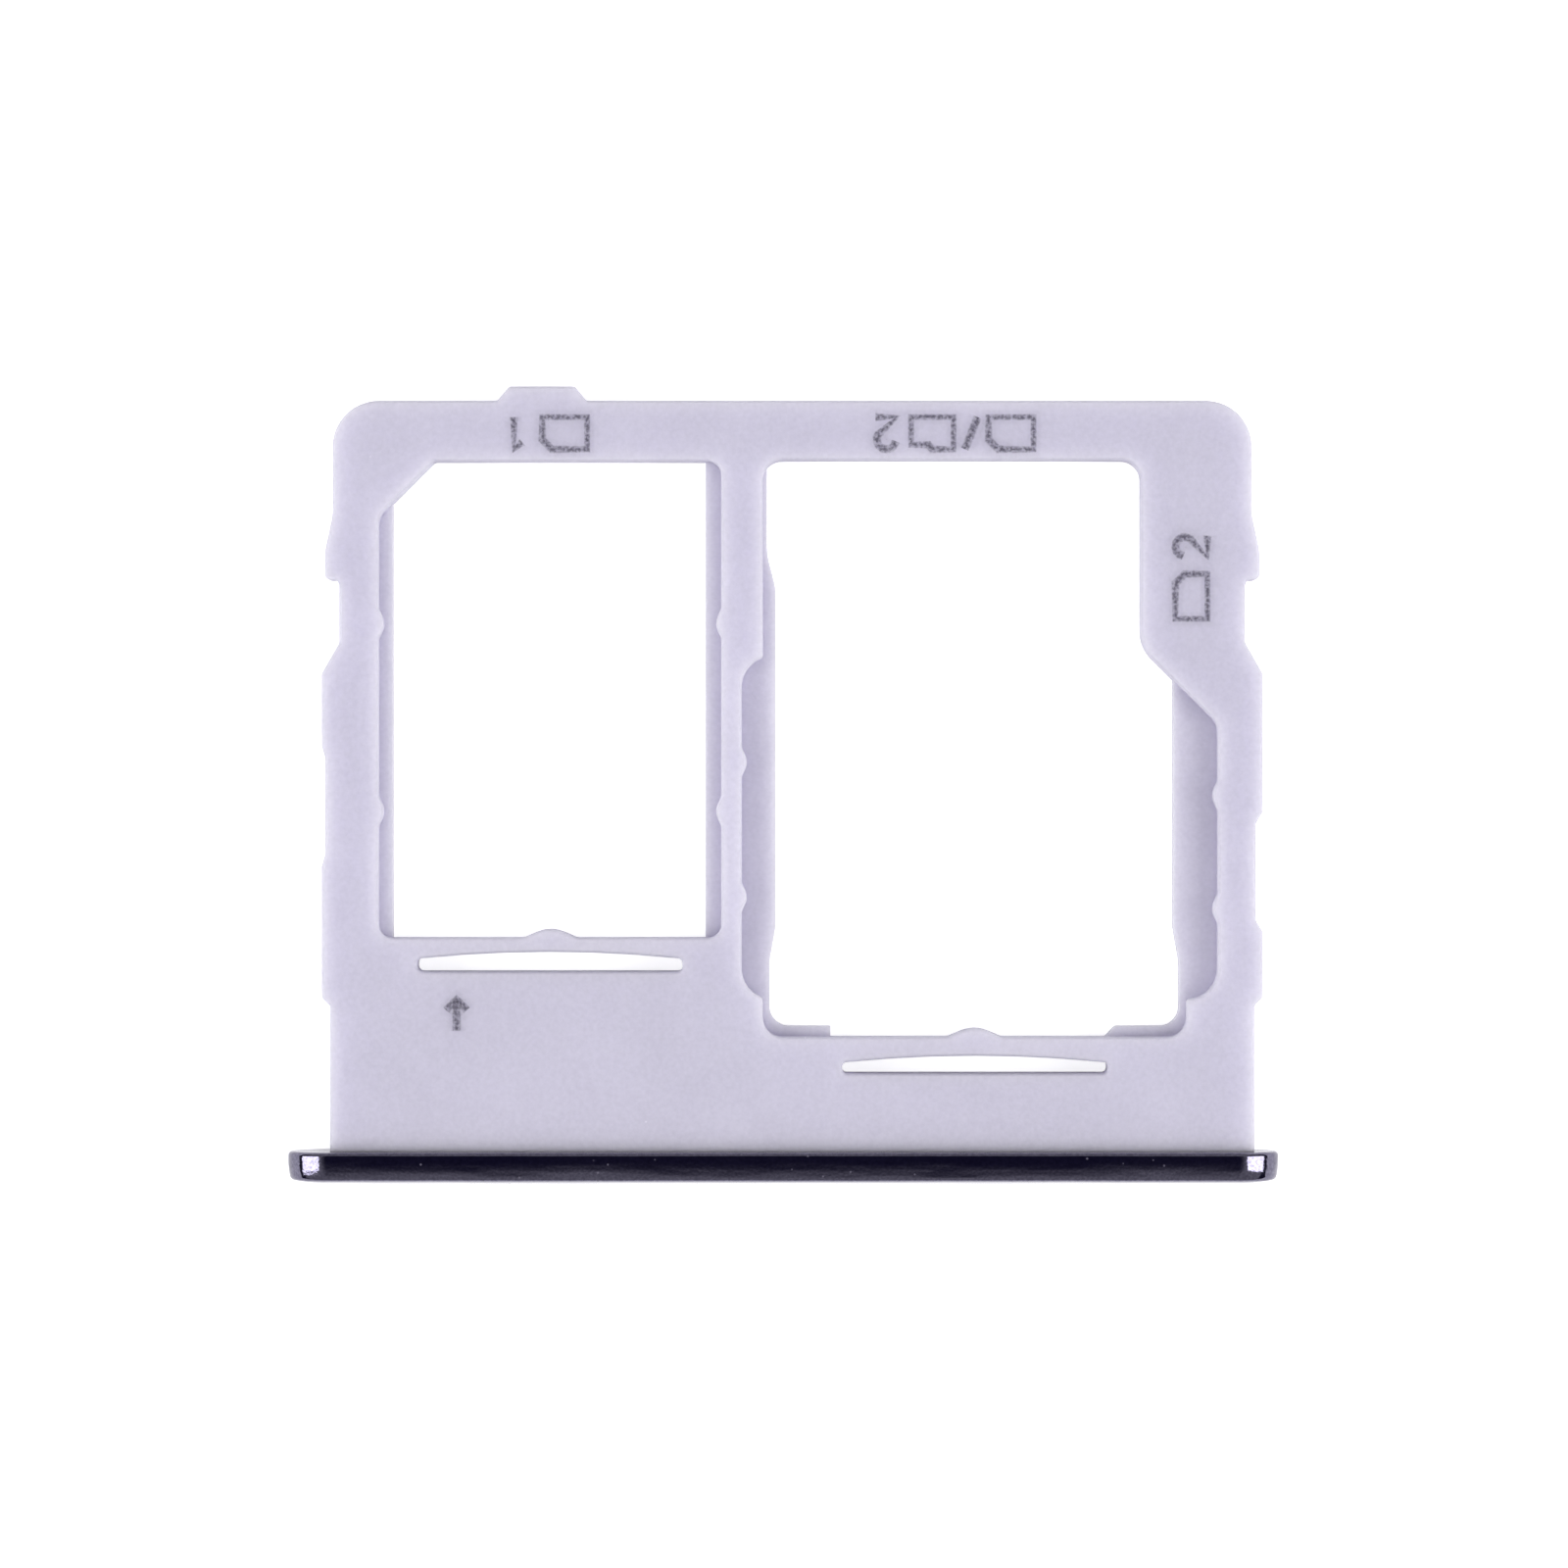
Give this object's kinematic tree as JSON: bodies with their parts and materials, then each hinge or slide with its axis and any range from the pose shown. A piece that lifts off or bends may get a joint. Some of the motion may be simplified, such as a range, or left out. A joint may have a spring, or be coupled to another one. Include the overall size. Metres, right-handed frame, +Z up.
{
  "type": "sim card tray",
  "caption": "Flat moulded card tray for a phone: a nano card pocket, a hybrid pocket for a turned nano card or a memory card, sprung walls and a dark mirror bezel.",
  "frame": {"origin": "middle of the part's box, on the plane of the bezel's lower edge", "axes": "+X along the bezel, +Y towards the insertion end, +Z up, out of the card pockets"},
  "size_m": [0.026, 0.0208, 0.0022],
  "materials": {
    "card_carrier": "fine matt moulded polycarbonate, lavender grey",
    "front_bezel": "dark mirror coat, metallised in vacuum on moulded plastic"
  },
  "bodies": {
    "root": {"card_carrier": "card_carrier", "front_bezel": "front_bezel"}
  },
  "joints": []
}
